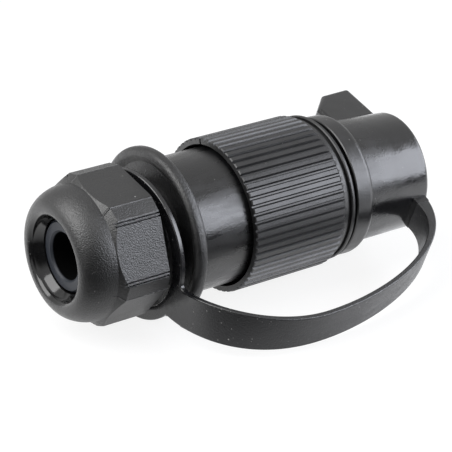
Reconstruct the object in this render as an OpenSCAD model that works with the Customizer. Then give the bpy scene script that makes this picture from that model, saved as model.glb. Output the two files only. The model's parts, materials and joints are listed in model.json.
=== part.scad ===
// In-line waterproof three-pin plug with a domed cable gland, a turning coupling ring
// and a tethered dust cap.
// Millimetres. The plug's axis is X: the cable leaves at -X, the pins point to +X, +Z is up.
// The origin is the centre of the cable hole, on the front face of the gland seal.

/* [Gland] */
// Diameter of the cable hole in the seal
cable_d = 9.6; // [7:0.1:11]
// Rubber wall of the seal
seal_wall = 2.4; // [2:0.1:3]
// Length of the seal
seal_len = 12; // [11:0.5:13.5]
// Wall of the clamp cage
cage_wall = 1.8; // [1.4:0.1:2.2]
// Number of fingers on the clamp cage
finger_count = 8; // [6:1:10]
// Width of the slots between the fingers
finger_slot = 1.2; // [0.8:0.1:1.6]
// Thickness of the fingers at their tips
finger_tip = 0.6; // [0.5:0.05:0.9]
// Thickness of the washer behind the seal
cage_washer_t = 1; // [0.8:0.1:1.5]
// Wall of the gland nut from its thread to its flats
nut_wall = 2.92; // [2.4:0.02:4]
// Width of the nut's plain flats, between the bands that cut its corners
nut_flat = 11.8; // [10.5:0.1:13]
// Width of the nut's three grooved flats
grip_flat = 13; // [12.8:0.1:13.6]
// Rounding of the nut's long edges
nut_round = 0.5; // [0.2:0.05:0.6]
// How far the nut's nose stands in front of the seal
nut_lead = 2.7; // [2:0.1:4]
// Length of the domed nose of the nut
dome_len = 6.9; // [6:0.1:8]
// Length of the nut from its nose to its rear face
nut_len = 17.1; // [16:0.1:17.4]
// Radius at which the nose comes furthest forward
crest_r = 9.7; // [9.2:0.1:10.5]
// Depth of the rounded lip of the nut's mouth
lip_len = 1.1; // [0.6:0.1:1.4]
// Width of the grip grooves beside the flats
groove_w = 0.32; // [0.2:0.02:0.4]
// Depth of the grip grooves
groove_depth = 1; // [0.5:0.05:1.2]
// Distance between the two grooves of a pair
groove_pitch = 0.65; // [0.6:0.01:0.75]
// Distance from the middle of a flat to the middle of a pair of grooves
groove_set = 5.83; // [5.4:0.01:5.85]
// Turn of the nut about the axis
nut_turn = 16; // [0:0.1:60]

/* [Body] */
// Wall of the threaded neck
neck_wall = 1.65; // [1.4:0.05:2.2]
// Distance from the seal's face to the neck's mouth
neck_set = 5; // [4.9:0.1:6]
// Space for the tether ring between the nut and the collar
tether_space = 5; // [4.6:0.1:7]
// Radius of the collar
collar_r = 17.3; // [16.5:0.1:19]
// Thickness of the collar
collar_len = 2.8; // [2.5:0.1:4]
// Depth of the dish in the collar's rear face
dish_depth = 0.9; // [0.4:0.1:1.2]
// Radius of the smooth barrel
barrel_r = 14; // [13.6:0.1:14.2]
// Length of barrel between the collar and the coupling ring
grip_len = 12.3; // [8:0.1:18]
// Step from the barrel down to the journal that the coupling ring turns on
journal_step = 1.6; // [1.5:0.05:1.8]
// Wall of the journal
journal_wall = 1.5; // [1.3:0.1:1.6]
// Width of the ledge that the pin carrier rests on
seat_ledge = 1; // [0.8:0.1:1.4]

/* [Coupling ring] */
// Length of the ribbed part
ring_len = 23.6; // [21:0.1:30]
// Number of ribs
rib_count = 60; // [40:1:64]
// Turn of the ribs about the axis
rib_turn = 2.2; // [0:0.1:6]
// Height of the ribs
rib_h = 0.5; // [0.3:0.05:0.6]
// Depth of the open skirt behind the inner flange
skirt_depth = 5.5; // [4:0.1:7]
// Clearance between the skirt and the barrel
skirt_gap = 0.7; // [0.5:0.05:0.8]
// Wall of the skirt under the ribs
skirt_wall = 0.75; // [0.65:0.05:1.5]
// Thickness of the inner flange
flange_len = 3; // [2.4:0.1:4]
// Wall of the front socket under the ribs
socket_wall = 1.55; // [1.2:0.05:1.7]
// Width of the groove in front of the ribs
front_groove = 0.8; // [0.6:0.05:1.2]
// Width of the plain bead at the front
bead_len = 0.85; // [0.7:0.05:1.5]
// How far the bead stays below the tops of the ribs
bead_drop = 0.55; // [0.3:0.05:0.7]
// Width of the index notch in the rear edge
notch_w = 0.5; // [0.4:0.05:1]
// Thickness of the slip washer in front of the flange
slip_t = 0.8; // [0.6:0.1:1.2]
// Thickness of the spring clip
clip_t = 1.2; // [1:0.1:1.5]

/* [Nose and pins] */
// Outer radius of the nose
nose_r = 9.2; // [9:0.05:9.4]
// Wall of the nose
nose_wall = 1.3; // [1.2:0.05:1.5]
// How far the nose stands out of the coupling ring
nose_out = 13.75; // [12:0.05:14.5]
// Thickness of the nose's shoulder
shoulder_t = 2; // [1.5:0.1:3]
// Width of the keyway in the nose
keyway_w = 2.6; // [2:0.1:3.2]
// Diameter of the nose seal's section
nose_seal_d = 1.2; // [1:0.05:1.4]
// Thickness of the flat face seal
face_seal_t = 1; // [0.8:0.1:1.5]
// Diameter of the pins
pin_d = 2.5; // [2:0.1:2.8]
// Radius of the circle that the pins stand on
pin_circle_r = 4.2; // [4:0.05:4.6]
// Length of the live pins in front of the carrier
pin_out = 12; // [10:0.5:13]
// How much longer the earth pin is
earth_extra = 1.5; // [0.5:0.1:2]
// Diameter of the wire hole in a terminal
wire_d = 2.6; // [2:0.1:2.8]
// Wall of a terminal round its wire hole
terminal_wall = 0.9; // [0.7:0.05:1.1]
// Length of a terminal behind the carrier's seat
terminal_len = 8; // [7:0.5:10]
// Diameter of the terminal screws
screw_d = 1.9; // [1.6:0.1:2.2]
// Depth of the mating well, from the nose's tip to the carrier's face
well_depth = 16.5; // [15:0.5:18]

/* [Dust cap] */
// Gap between the coupling ring and the cap
cap_gap = 1.45; // [1:0.05:3]
// Length of the cap
cap_len = 20.3; // [19.5:0.1:24]
// Radius of the cap's skirt
cap_skirt_r = 14.75; // [14:0.05:16]
// Length of the skirt, up to the step
cap_skirt_len = 4.6; // [3:0.1:6]
// Radius of the narrow part next to the step
cap_root_r = 13; // [12.8:0.05:13.5]
// Radius of the narrow part at its end
cap_end_r = 12.5; // [12.2:0.05:12.8]
// Rounding of the cap's end
cap_round = 1.1; // [0.6:0.1:2]
// Radius of the hollow of the cap
cap_bore_r = 10.7; // [10.6:0.05:10.9]
// Thickness of the cap's end wall
cap_end_t = 2.4; // [1.6:0.1:3]
// How far the strap pulls the cap off centre
cap_shift = 0.45; // [0:0.05:0.5]
// Angle by which the strap pulls the cap askew
cap_tilt = 2.8; // [0:0.1:2.9]
// How far the pull tab reaches from the cap's axis
tab_reach = 22.5; // [19:0.1:28]
// Width of the pull tab at its tip
tab_tip_w = 7.6; // [5:0.1:9]
// Width of the pull tab at its root
tab_root_w = 11; // [7:0.1:13]
// Thickness of the pull tab at its tip, along the axis
tab_tip_t = 7.4; // [4:0.1:8]
// Thickness of the pull tab at its root, along the axis
tab_root_t = 11.6; // [9:0.1:13]
// Rounding of the pull tab's corners
tab_round = 1; // [0.5:0.1:1.8]

/* [Strap] */
// Width of the strap
strap_w = 7.8; // [5:0.1:8.4]
// Width of the strap where it joins the cap
strap_root_w = 7.2; // [5:0.1:8.4]
// Thickness of the strap
strap_t = 1.1; // [0.8:0.05:1.6]
// Thickness of the strap where it joins the cap
strap_root_t = 3; // [1.6:0.1:3.6]
// How far the strap's loop reaches to the side of the axis
loop_reach = 32.3; // [28:0.1:38]
// How far the strap's loop hangs below the axis
loop_drop = 13; // [10:0.1:13.3]
// Place of the loop's widest point along the axis
loop_x = 38.8; // [34:0.2:46]
// Outer radius of the tether ring
tether_r = 15.5; // [15:0.1:15.9]
// Thickness of the tether ring
tether_t = 1.2; // [0.8:0.05:1.4]
// How far the tether ring hangs below the axis
tether_drop = 1.5; // [0.5:0.05:1.6]
// Angle by which the strap pulls the tether ring askew
tether_tilt = 4; // [0:0.1:4.5]
// How far the tether ring's tongue reaches to the side
tongue_reach = 17.5; // [16.5:0.1:19]
// Height of the tongue's middle below the ring's centre
tongue_low = 8.5; // [7:0.1:9.5]
// Angle below level at which the strap meets the cap
strap_angle = 23.5; // [15:0.5:30]

/* [Clearances] */
// Gap between fixed pieces that slip together
fit_gap = 0.1; // [0.05:0.01:0.15]
// Radial gap of the fits that turn or screw
run_gap = 0.08; // [0.05:0.01:0.1]
// Gap between pieces that pass each other
free_gap = 0.3; // [0.2:0.05:0.4]
// Gap at the seams of the strap
seam_gap = 0.03; // [0.02:0.01:0.1]

/* [Hidden] */
$fn = 96;
// How far a cutter reaches past what it cuts
over = 0.5;
// Chords of a blunt corner, of a small rounding, of the dome and of a round section
CORNER_CHORDS = 3;
CHORDS = 6;
DOME_CHORDS = 16;
SECTION_SIDES = 24;
// Sides of the nut and half the angle between two of them
SIDES = 6;
half_side = 180 / SIDES;
// Sizes of the lead-ins on moulded edges, and the end play of what turns
fine_cut = 0.2;
edge_cut = 0.4;
root_cut = 0.5;
end_play = 0.2;

// Radii of the gland, from the cable outwards
cable_r = cable_d / 2;
seal_r = cable_r + seal_wall;
cage_in_r = seal_r + 2 * fit_gap;
cage_r = cage_in_r + cage_wall;
neck_in_r = cage_r + fit_gap;
neck_r = neck_in_r + neck_wall;
nut_bore_r = neck_r + run_gap;
nut_apothem = nut_bore_r + nut_wall;
dome_inset = 0.15;
dome_r = nut_apothem - dome_inset;
mouth_r = seal_r + free_gap;
lip_flare = 1;
lip_r = mouth_r + lip_flare;
corner_r = nut_apothem / cos(half_side);
rear_r = nut_apothem * cos(half_side) + nut_flat / 2 * sin(half_side);

// Places along the axis, from the gland to the cap
nut_x0 = -nut_lead;
nut_x1 = nut_x0 + nut_len;
dome_x1 = nut_x0 + dome_len;
hex_lap = 0.7;
hex_x0 = dome_x1 - hex_lap;
cone_x0 = 1.2;
cone_rest = 0.5;
cone_x1 = neck_set - cone_rest;
cone_r1 = cage_r + free_gap;
tip_x = cone_x0 + (cage_in_r + finger_tip + free_gap - mouth_r) * (cone_x1 - cone_x0) / (cone_r1 - mouth_r);
cage_base = 2;
finger_x1 = seal_len - cage_base;
cage_x1 = seal_len;
neck_stop_x = cage_x1 + cage_washer_t;
collar_x0 = nut_x1 + tether_space;
collar_x1 = collar_x0 + collar_len;
ring_x0 = collar_x1 + grip_len;
ring_x1 = ring_x0 + ring_len;
ring_front_x = ring_x1 + front_groove + bead_len;
flange_x0 = ring_x0 + skirt_depth;
flange_x1 = flange_x0 + flange_len;
barrel_x1 = flange_x0 - free_gap;
slip_x0 = flange_x1 + end_play;
clip_x0 = slip_x0 + slip_t + end_play;
clip_x1 = clip_x0 + clip_t;
clip_land = 1.6;
body_x1 = clip_x1 + clip_land;
seat_set = 2;
seat_x = flange_x0 - seat_set;
nose_x1 = ring_front_x + nose_out;
carrier_x1 = nose_x1 - well_depth;
cap_x0 = ring_front_x + cap_gap;

// Seal groove inside the rear of the nut
neck_seal_d = 1.5;
neck_groove_w = 1.9;
neck_groove_set = 2.6;
neck_groove_x = nut_x1 - neck_groove_set;
neck_groove_r = neck_r + run_gap + neck_seal_d;

// Throat of the neck and wire chamber
throat_step = 1.4;
throat_r = neck_in_r - throat_step;
chamber_cone = 1.5;
chamber_set = 1.1;
chamber_x0 = collar_x0 + chamber_set;

// Radii of the coupling ring, outwards from the barrel and inwards to its socket
skirt_r = barrel_r + skirt_gap;
ring_r = skirt_r + skirt_wall + rib_h;
socket_r = ring_r - rib_h - socket_wall;
bead_r = ring_r - bead_drop;

// Journal, clip and the carrier's seat
journal_r = barrel_r - journal_step;
bore_r = journal_r - journal_wall;
chamber_r = bore_r - seat_ledge;
clip_cut = 0.7;
clip_floor_r = journal_r - clip_cut;
clip_proud = 0.9;
clip_out_r = journal_r + clip_proud;
carrier_seal_t = 0.6;
carrier_flange_t = 1.8;
carrier_x0 = seat_x + carrier_seal_t;
tail_x0 = carrier_x0 + carrier_flange_t;
nose_in_r = nose_r - nose_wall;
carrier_r = nose_in_r - fit_gap;
nose_seal_set = 4;
nose_seal_x = nose_x1 - nose_seal_set;
nose_seal_cut = 0.8;

// Pins and terminals
pin_r = pin_d / 2;
wire_r = wire_d / 2;
terminal_r = wire_r + terminal_wall;
terminal_seat = 5;
terminal_x1 = carrier_x0 + terminal_seat;
terminal_x0 = carrier_x0 - terminal_len;
screw_set = 3;
screw_x = terminal_x0 + screw_set;
screw_rim = 0.55;
screw_head_r = screw_d / 2 + screw_rim;
screw_head_t = 1.1;
LINE = 210;
NEUTRAL = 330;
EARTH = 90;

// Tether ring and strap
tether_back = 0.8;
tether_x = (nut_x1 + collar_x0) / 2 - tether_back;
tether_hole_r = neck_r + tether_drop + free_gap;
STRAP_STEPS = 14;
tongue_y = tongue_reach + seam_gap;
strap_start = [tether_x + tongue_y * tan(tether_tilt), -tongue_y, -tether_drop - tongue_low];
loop_top = [loop_x, -loop_reach, -loop_drop];
stub_proud = 1;
stub_reach = cap_end_r + stub_proud;
stub_set = 2.6;
stub_x = cap_len - stub_set;
strap_end = cap_point(stub_x, stub_reach + seam_gap);
// How far the strap keeps its heading at the tongue, on both sides of the loop's top and at the cap
tongue_pull = 10.5;
rear_pull = 11.5;
front_pull = 17.5;
stub_pull = 11.6;
// How late the strap grows thicker towards its two ends
TONGUE_POWER = 4;
STUB_POWER = 5;

// Points of an elliptical arc about c, with the half axes r, from the angle a0 to a1
function arc(c, r, a0, a1, n = CHORDS) =
    [for (i = [0:n]) let (t = a0 + (a1 - a0) * i / n) [c[0] + r[0] * cos(t), c[1] + r[1] * sin(t)]];

// A convex polygon's corners, moved inwards until they lie r from both of their sides
function inset(p, r) = [
    for (i = [0:len(p) - 1])
        let (a = p[(i + len(p) - 1) % len(p)], b = p[i], c = p[(i + 1) % len(p)])
        let (u = (a - b) / norm(a - b), v = (c - b) / norm(c - b))
        b + (u + v) / norm(u + v) * r / sin(acos(u * v) / 2)
];

// A convex polygon, drawn anticlockwise, with its corners rounded to the radius r
function rounded(p, r) =
    let (centres = inset(p, r))
    [
        for (i = [0:len(p) - 1])
            let (a = p[(i + len(p) - 1) % len(p)], b = p[i], c = p[(i + 1) % len(p)])
            let (start = atan2(a[0] - b[0], b[1] - a[1]), end = atan2(b[0] - c[0], c[1] - b[1]))
            let (turn = (end - start + 540) % 360 - 180)
            each arc(centres[i], [r, r], start, start + turn, CORNER_CHORDS)
    ];

// Soft step from 0 to 1
function ease(t) = t * t * (3 - 2 * t);

// A point on a cubic curve with the control points p
function curve(p, t) =
    pow(1 - t, 3) * p[0] + 3 * pow(1 - t, 2) * t * p[1] + 3 * (1 - t) * t * t * p[2] + pow(t, 3) * p[3];

// Direction of that curve
function heading(p, t) =
    let (d = pow(1 - t, 2) * (p[1] - p[0]) + 2 * (1 - t) * t * (p[2] - p[1]) + t * t * (p[3] - p[2]))
    d / norm(d);

// A place in the cap's own frame, x along it and y towards the strap, in the plug's frame
function cap_point(x, y) =
    let (side = cap_shift + x * sin(cap_tilt) + y * cos(cap_tilt))
    [cap_x0 + x * cos(cap_tilt) - y * sin(cap_tilt), -side * cos(strap_angle), -side * sin(strap_angle)];

// Solid of revolution about X of a profile of [x, r] points
module turned(profile) {
    rotate([90, 0, 90]) rotate_extrude() polygon([for (p = profile) [p[1], p[0]]]);
}

// Round tube about X
module tube(x0, x1, inner, outer) {
    turned([[x0, inner], [x0, outer], [x1, outer], [x1, inner]]);
}

// Round ring of round section about X
module o_ring(x, r, section_d) {
    rotate([90, 0, 90])
        translate([0, 0, x])
            rotate_extrude() translate([r, 0]) circle(d = section_d, $fn = SECTION_SIDES);
}

// Prism along X of the outline below it, drawn in Y and Z
module along_x(x0, x1) {
    translate([x0, 0, 0]) rotate([90, 0, 90]) linear_extrude(x1 - x0) children();
}

// Carries its children from the cap's own frame to the plug's
module cap_pose() {
    rotate([180 + strap_angle, 0, 0])
        translate([cap_x0, cap_shift, 0])
            rotate([0, 0, cap_tilt])
                children();
}

// Outline of the nut: plain and grooved flats by turns, with the corners between them cut by narrow bands
module nut_outline() {
    corners = [
        for (k = [0:SIDES - 1], side = [-1, 1])
            let (a = 180 - nut_turn + 2 * half_side * k)
            let (reach = side * (k % 2 == 0 ? grip_flat : nut_flat) / 2)
            nut_apothem * [cos(a), sin(a)] + reach * [-sin(a), cos(a)]
    ];
    polygon(rounded(corners, nut_round));
}

// Pairs of narrow grooves along both edges of every other flat
module grip_grooves() {
    start = 0.9;
    for (k = [0:2:SIDES - 1], side = [-1, 1], step = [-1, 1])
        rotate([180 - nut_turn + 2 * half_side * k, 0, 0])
            translate([
                hex_x0 + start,
                nut_apothem - groove_depth,
                side * (groove_set + step * groove_pitch / 2) - groove_w / 2
            ])
                cube([nut_len, 2 * groove_depth, groove_w]);
}

module gland_nut() {
    lead = 2.3;
    dome = concat(
        arc([dome_x1, crest_r], [dome_len, dome_r - crest_r], 180, 90, DOME_CHORDS),
        [[nut_x1, dome_r], [nut_x1, 0], [nut_x0, 0]]
    );
    hex_limit = [
        [hex_x0, 0],
        [hex_x0, dome_r - fit_gap],
        [hex_x0 + lead, corner_r],
        [nut_x1 - edge_cut, corner_r],
        [nut_x1, rear_r - fine_cut],
        [nut_x1, 0]
    ];
    hollow = concat(
        [[nut_x0 - over, 0], [nut_x0 - over, crest_r]],
        arc([nut_x0 + lip_len, crest_r], [lip_len, crest_r - lip_r], 180, 270),
        [
            [0, mouth_r],
            [cone_x0, mouth_r],
            [cone_x1, cone_r1],
            [neck_set - free_gap, nut_bore_r],
            [neck_groove_x, nut_bore_r],
            [neck_groove_x, neck_groove_r],
            [neck_groove_x + neck_groove_w, neck_groove_r],
            [neck_groove_x + neck_groove_w, nut_bore_r],
            [nut_x1 + over, nut_bore_r],
            [nut_x1 + over, 0]
        ]
    );
    color("#2b2b2d")
        difference() {
            union() {
                turned(dome);
                intersection() {
                    along_x(hex_x0, nut_x1) nut_outline();
                    turned(hex_limit);
                }
            }
            turned(hollow);
            grip_grooves();
        }
}

module gland_seal() {
    color("#3d3e42")
        turned([
            [0, cable_r + edge_cut],
            [0, seal_r - edge_cut],
            [edge_cut, seal_r],
            [seal_len, seal_r],
            [seal_len, cable_r],
            [edge_cut, cable_r]
        ]);
}

module clamp_cage() {
    color("#454548")
        difference() {
            turned([
                [tip_x, cage_in_r],
                [tip_x, cage_in_r + finger_tip],
                [cone_x1, cage_r],
                [cage_x1, cage_r],
                [cage_x1, cage_in_r]
            ]);
            for (k = [0:finger_count - 1])
                rotate([360 / finger_count * k, 0, 0])
                    translate([tip_x - over, cage_in_r - over, -finger_slot / 2])
                        cube([finger_x1 - tip_x + over, cage_wall + 2 * over, finger_slot]);
        }
}

module cage_washer() {
    color("#5a5a5e") tube(cage_x1, neck_stop_x, cable_r + free_gap, cage_r);
}

module neck_seal() {
    color("#1d1d1f")
        o_ring(neck_groove_x + neck_groove_w / 2, neck_r + run_gap + neck_seal_d / 2, neck_seal_d - fit_gap);
}

module body_shell() {
    thread_lead = 0.7;
    rim = 1.1;
    front_rim = 1.2;
    dish_lip = 2.4;
    dish_run = 0.6;
    dish_turn = 230;
    dish_r = collar_r - dish_lip;
    outside = concat(
        [
            [neck_set, neck_r - thread_lead],
            [neck_set + thread_lead, neck_r],
            [collar_x0 + dish_depth, neck_r],
            [collar_x0 + dish_depth, dish_r - dish_run]
        ],
        arc([collar_x0 + dish_depth, collar_r - rim], [dish_depth, collar_r - rim - dish_r], dish_turn, 180),
        arc([collar_x0 + rim, collar_r - rim], [rim, rim], 180, 90),
        arc([collar_x1 - front_rim, collar_r - front_rim], [front_rim, front_rim], 90, 0),
        [
            [collar_x1, barrel_r + root_cut],
            [collar_x1 + root_cut, barrel_r],
            [barrel_x1 - edge_cut, barrel_r],
            [barrel_x1, barrel_r - edge_cut],
            [barrel_x1, journal_r],
            [clip_x0 - fit_gap, journal_r],
            [clip_x0 - fit_gap, clip_floor_r],
            [clip_x1 + fit_gap, clip_floor_r],
            [clip_x1 + fit_gap, journal_r],
            [body_x1 - fine_cut, journal_r],
            [body_x1, journal_r - fine_cut]
        ]
    );
    inside = [
        [body_x1, bore_r],
        [seat_x, bore_r],
        [seat_x, chamber_r],
        [chamber_x0 + chamber_cone, chamber_r],
        [chamber_x0, throat_r],
        [neck_stop_x, throat_r],
        [neck_stop_x, neck_in_r],
        [neck_set, neck_in_r]
    ];
    color("#202123") turned(concat(outside, inside));
}

// Outline of the tongue, from inside the ring to its tip, with a fillet above and a waist below
module tongue_outline() {
    fillet = 1.2;
    waist = 0.9;
    top_z = strap_w / 2 - tongue_low;
    low_z = top_z - strap_w;
    tip_y = tongue_reach / cos(tether_tilt);
    ring_y = sqrt(tether_r * tether_r - pow(top_z + fillet, 2));
    waist_y = sqrt(tether_r * tether_r - pow(low_z + waist, 2));
    upper = [
        for (i = [0:CHORDS])
            let (t = i / CHORDS)
            [
                -ring_y - (tip_y - ring_y) * t * t,
                top_z + fillet * (1 - t) * (1 - t)
            ]
    ];
    lower = [
        for (i = [0:CHORDS])
            let (t = i / CHORDS)
            [
                -tip_y + (tip_y - waist_y) * t,
                low_z + waist * t * t
            ]
    ];
    polygon(concat([[0, low_z + waist], [-tether_hole_r, top_z + fillet]], upper, lower));
}

module tether_ring() {
    color("#323236")
        translate([tether_x, 0, -tether_drop])
            rotate([0, 0, tether_tilt])
                along_x(-tether_t / 2, tether_t / 2)
                    difference() {
                        union() {
                            circle(tether_r);
                            tongue_outline();
                        }
                        circle(tether_hole_r);
                    }
}

// Flat band swept along two cubic curves, from the tether ring's tongue round to the cap
module strap() {
    lean = [tan(tether_tilt), -1, 0];
    first = [strap_start, strap_start + tongue_pull * lean, loop_top - [rear_pull, 0, 0], loop_top];
    second = [loop_top, loop_top + [front_pull, 0, 0], cap_point(stub_x, stub_reach + stub_pull), strap_end];
    sections = [
        for (half = [0, 1], i = [0:STRAP_STEPS])
            if (half == 0 || i > 0)
                let (t = i / STRAP_STEPS)
                let (p = half == 0 ? first : second)
                let (turn = half == 0 ? strap_angle * ease(t) : strap_angle)
                let (along = heading(p, t))
                let (face = cross(along, [0, -sin(turn), cos(turn)]))
                let (out = face / norm(face), across = cross(out, along))
                let (thick = half == 0
                    ? strap_t + (tether_t - strap_t) * pow(1 - t, TONGUE_POWER)
                    : strap_t + (strap_root_t - strap_t) * pow(t, STUB_POWER))
                let (wide = half == 0 ? strap_w : strap_w + (strap_root_w - strap_w) * ease(t))
                let (c = curve(p, t))
                [
                    c + out * thick / 2 + across * wide / 2,
                    c - out * thick / 2 + across * wide / 2,
                    c - out * thick / 2 - across * wide / 2,
                    c + out * thick / 2 - across * wide / 2
                ]
    ];
    last = len(sections) - 1;
    color("#303034")
        polyhedron(
            points = [for (s = sections) each s],
            faces = concat(
                [[0, 1, 2, 3]],
                [
                    for (i = [0:last - 1], k = [0:3])
                        let (a = 4 * i + k, b = 4 * i + (k + 1) % 4)
                        [a, a + 4, b + 4, b]
                ],
                [[4 * last + 3, 4 * last + 2, 4 * last + 1, 4 * last]]
            )
        );
}

// Pull tab of the cap, with rounded edges, narrower and thinner towards its tip
module pull_tab() {
    bury = 0.7;
    proud = 1.6;
    slope = 0.6;
    shoulder = 5;
    root = cap_bore_r + bury;
    front = cap_len + proud;
    outline = [
        [front, -root],
        [front, -tab_reach],
        [front - tab_tip_t, -tab_reach + slope],
        [front - tab_root_t, -tab_reach + shoulder],
        [front - tab_root_t, -root]
    ];
    hull()
        for (c = inset(outline, tab_round), side = [-1, 1])
            let (share = (-c[1] - root) / (tab_reach - root))
            let (half_w = (tab_root_w + (tab_tip_w - tab_root_w) * share) / 2)
            translate([c[0], c[1], side * (half_w - tab_round)]) sphere(tab_round, $fn = SECTION_SIDES);
}

module dust_cap() {
    step = 1.6;
    step_turn = 35;
    shell = concat(
        [[0, cap_bore_r], [0, cap_skirt_r - fine_cut], [fine_cut, cap_skirt_r]],
        arc([cap_skirt_len - step, cap_skirt_r - step], [step, step], 90, step_turn),
        [[cap_skirt_len + root_cut, cap_root_r]],
        arc([cap_len - cap_round, cap_end_r - cap_round], [cap_round, cap_round], 90, 0),
        [[cap_len, 0], [cap_len - cap_end_t, 0], [cap_len - cap_end_t, cap_bore_r]]
    );
    color("#2d2d30")
        cap_pose() {
            difference() {
                union() {
                    turned(shell);
                    pull_tab();
                    translate([stub_x - strap_root_t / 2, 0, -strap_root_w / 2])
                        cube([strap_root_t, stub_reach, strap_root_w]);
                }
                tube(-over, cap_len - cap_end_t, 0, cap_bore_r);
            }
        }
}

// Outline of the ribs, as straight-sided teeth
module rib_outline() {
    pitch = 360 / rib_count;
    root = 0.4;
    top = 0.24;
    polygon([
        for (k = [0:rib_count - 1], c = [[-root, 0], [-top, 1], [top, 1], [root, 0]])
            let (r = ring_r - rib_h + rib_h * c[1], a = rib_turn + pitch * (k + c[0]))
            [r * cos(a), r * sin(a)]
    ]);
}

module coupling_ring() {
    front_slope = 1.7;
    rib_run = 0.6;
    front_drop = 0.35;
    groove_cut = 0.8;
    mouth_cut = 0.6;
    notch_len = 1.4;
    notch_angle = 77;
    rib_limit = [
        [ring_x0, 0],
        [ring_x0, ring_r - fine_cut],
        [ring_x0 + fine_cut, ring_r],
        [ring_x1 - front_slope, ring_r],
        [ring_x1 - front_slope + rib_run, ring_r - rib_h],
        [ring_x1, ring_r - rib_h - front_drop],
        [ring_x1, 0]
    ];
    front = [
        [ring_x1 - over, 0],
        [ring_x1 - over, bead_r - groove_cut],
        [ring_x1 + front_groove, bead_r - groove_cut],
        [ring_x1 + front_groove, bead_r - fine_cut],
        [ring_x1 + front_groove + fine_cut, bead_r],
        [ring_front_x - fine_cut, bead_r],
        [ring_front_x, bead_r - fine_cut],
        [ring_front_x, 0]
    ];
    hollow = [
        [ring_x0 - over, 0],
        [ring_x0 - over, skirt_r],
        [flange_x0, skirt_r],
        [flange_x0, journal_r + run_gap],
        [flange_x1, journal_r + run_gap],
        [flange_x1, socket_r],
        [ring_front_x - mouth_cut, socket_r],
        [ring_front_x + over, socket_r + mouth_cut + over],
        [ring_front_x + over, 0]
    ];
    color("#333438")
        difference() {
            union() {
                intersection() {
                    along_x(ring_x0, ring_x1) rib_outline();
                    turned(rib_limit);
                }
                turned(front);
            }
            turned(hollow);
            rotate([notch_angle, 0, 0])
                translate([ring_x0 - over, barrel_r, -notch_w / 2])
                    cube([over + notch_len, ring_r, notch_w]);
        }
}

module slip_washer() {
    color("#6a6a6e") tube(slip_x0, slip_x0 + slip_t, journal_r + fit_gap, socket_r - free_gap);
}

// Open spring ring in the journal's groove
module ring_clip() {
    opening = 5;
    color("#9a9a9e")
        difference() {
            tube(clip_x0, clip_x1, clip_floor_r + fit_gap, clip_out_r);
            translate([clip_x0 - over, 0, -opening / 2])
                cube([clip_t + 2 * over, clip_out_r + over, opening]);
        }
}

module nose_shell() {
    lip = 0.5;
    outside = [
        [tail_x0, nose_in_r],
        [tail_x0, bore_r - fit_gap],
        [body_x1, bore_r - fit_gap],
        [body_x1, journal_r - fine_cut],
        [body_x1 + shoulder_t, journal_r - fine_cut],
        [body_x1 + shoulder_t, nose_r],
        [nose_seal_x - nose_seal_d / 2 - fit_gap, nose_r],
        [nose_seal_x - nose_seal_d / 2 - fit_gap, nose_r - nose_seal_cut],
        [nose_seal_x + nose_seal_d / 2 + fit_gap, nose_r - nose_seal_cut],
        [nose_seal_x + nose_seal_d / 2 + fit_gap, nose_r],
        [nose_x1 - lip, nose_r],
        [nose_x1, nose_r - lip],
        [nose_x1, nose_in_r]
    ];
    keyway_len = nose_x1 - nose_seal_x - nose_seal_d;
    color("#232427")
        difference() {
            turned(outside);
            translate([nose_x1 - keyway_len, -keyway_w / 2, nose_in_r - over])
                cube([keyway_len + over, keyway_w, nose_wall + 2 * over]);
        }
}

module nose_seal() {
    color("#7a4a2e") o_ring(nose_seal_x, nose_r - nose_seal_cut + fit_gap + nose_seal_d / 2, nose_seal_d);
}

module face_seal() {
    seal_x0 = body_x1 + shoulder_t;
    color("#1c1c1e") tube(seal_x0, seal_x0 + face_seal_t, nose_r + fit_gap, socket_r - 2 * free_gap);
}

// Places its children, drawn about X, on the pin circle at an angle from +Y towards +Z
module at_pin(angle) {
    translate([0, pin_circle_r * cos(angle), pin_circle_r * sin(angle)]) children();
}

module pin_carrier() {
    boss_len = 2.4;
    boss_x0 = carrier_x0 - boss_len;
    color("#8a8478")
        difference() {
            turned([
                [boss_x0, 0],
                [boss_x0, chamber_r - free_gap],
                [carrier_x0, chamber_r - free_gap],
                [carrier_x0, bore_r - fit_gap],
                [tail_x0, bore_r - fit_gap],
                [tail_x0, carrier_r],
                [carrier_x1, carrier_r],
                [carrier_x1, 0]
            ]);
            for (angle = [LINE, NEUTRAL, EARTH])
                at_pin(angle) {
                    tube(boss_x0 - over, terminal_x1, 0, terminal_r + fit_gap);
                    tube(boss_x0, carrier_x1 + over, 0, pin_r + fit_gap);
                }
        }
}

module carrier_seal() {
    color("#1c1c1e") tube(seat_x, carrier_x0, chamber_r + fit_gap, bore_r - fit_gap);
}

// Turned pin with a hollow screw terminal at its rear
module pin(angle, reach) {
    tip = carrier_x1 + reach;
    wire_stop = 1;
    wire_depth = terminal_len - wire_stop;
    color("#c8a85a")
        difference() {
            at_pin(angle)
                turned(concat(
                    [
                        [terminal_x0, 0],
                        [terminal_x0, terminal_r - fine_cut],
                        [terminal_x0 + fine_cut, terminal_r],
                        [terminal_x1, terminal_r],
                        [terminal_x1, pin_r]
                    ],
                    arc([tip - pin_r, 0], [pin_r, pin_r], 90, 0)
                ));
            at_pin(angle) tube(terminal_x0 - over, terminal_x0 + wire_depth, 0, wire_r);
            rotate([angle, 0, 0])
                translate([screw_x, pin_circle_r, 0])
                    rotate([-90, 0, 0]) cylinder(h = terminal_r + over, d = screw_d + fit_gap);
        }
}

module line_pin() {
    pin(LINE, pin_out);
}

module neutral_pin() {
    pin(NEUTRAL, pin_out);
}

module earth_pin() {
    pin(EARTH, pin_out + earth_extra);
}

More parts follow.
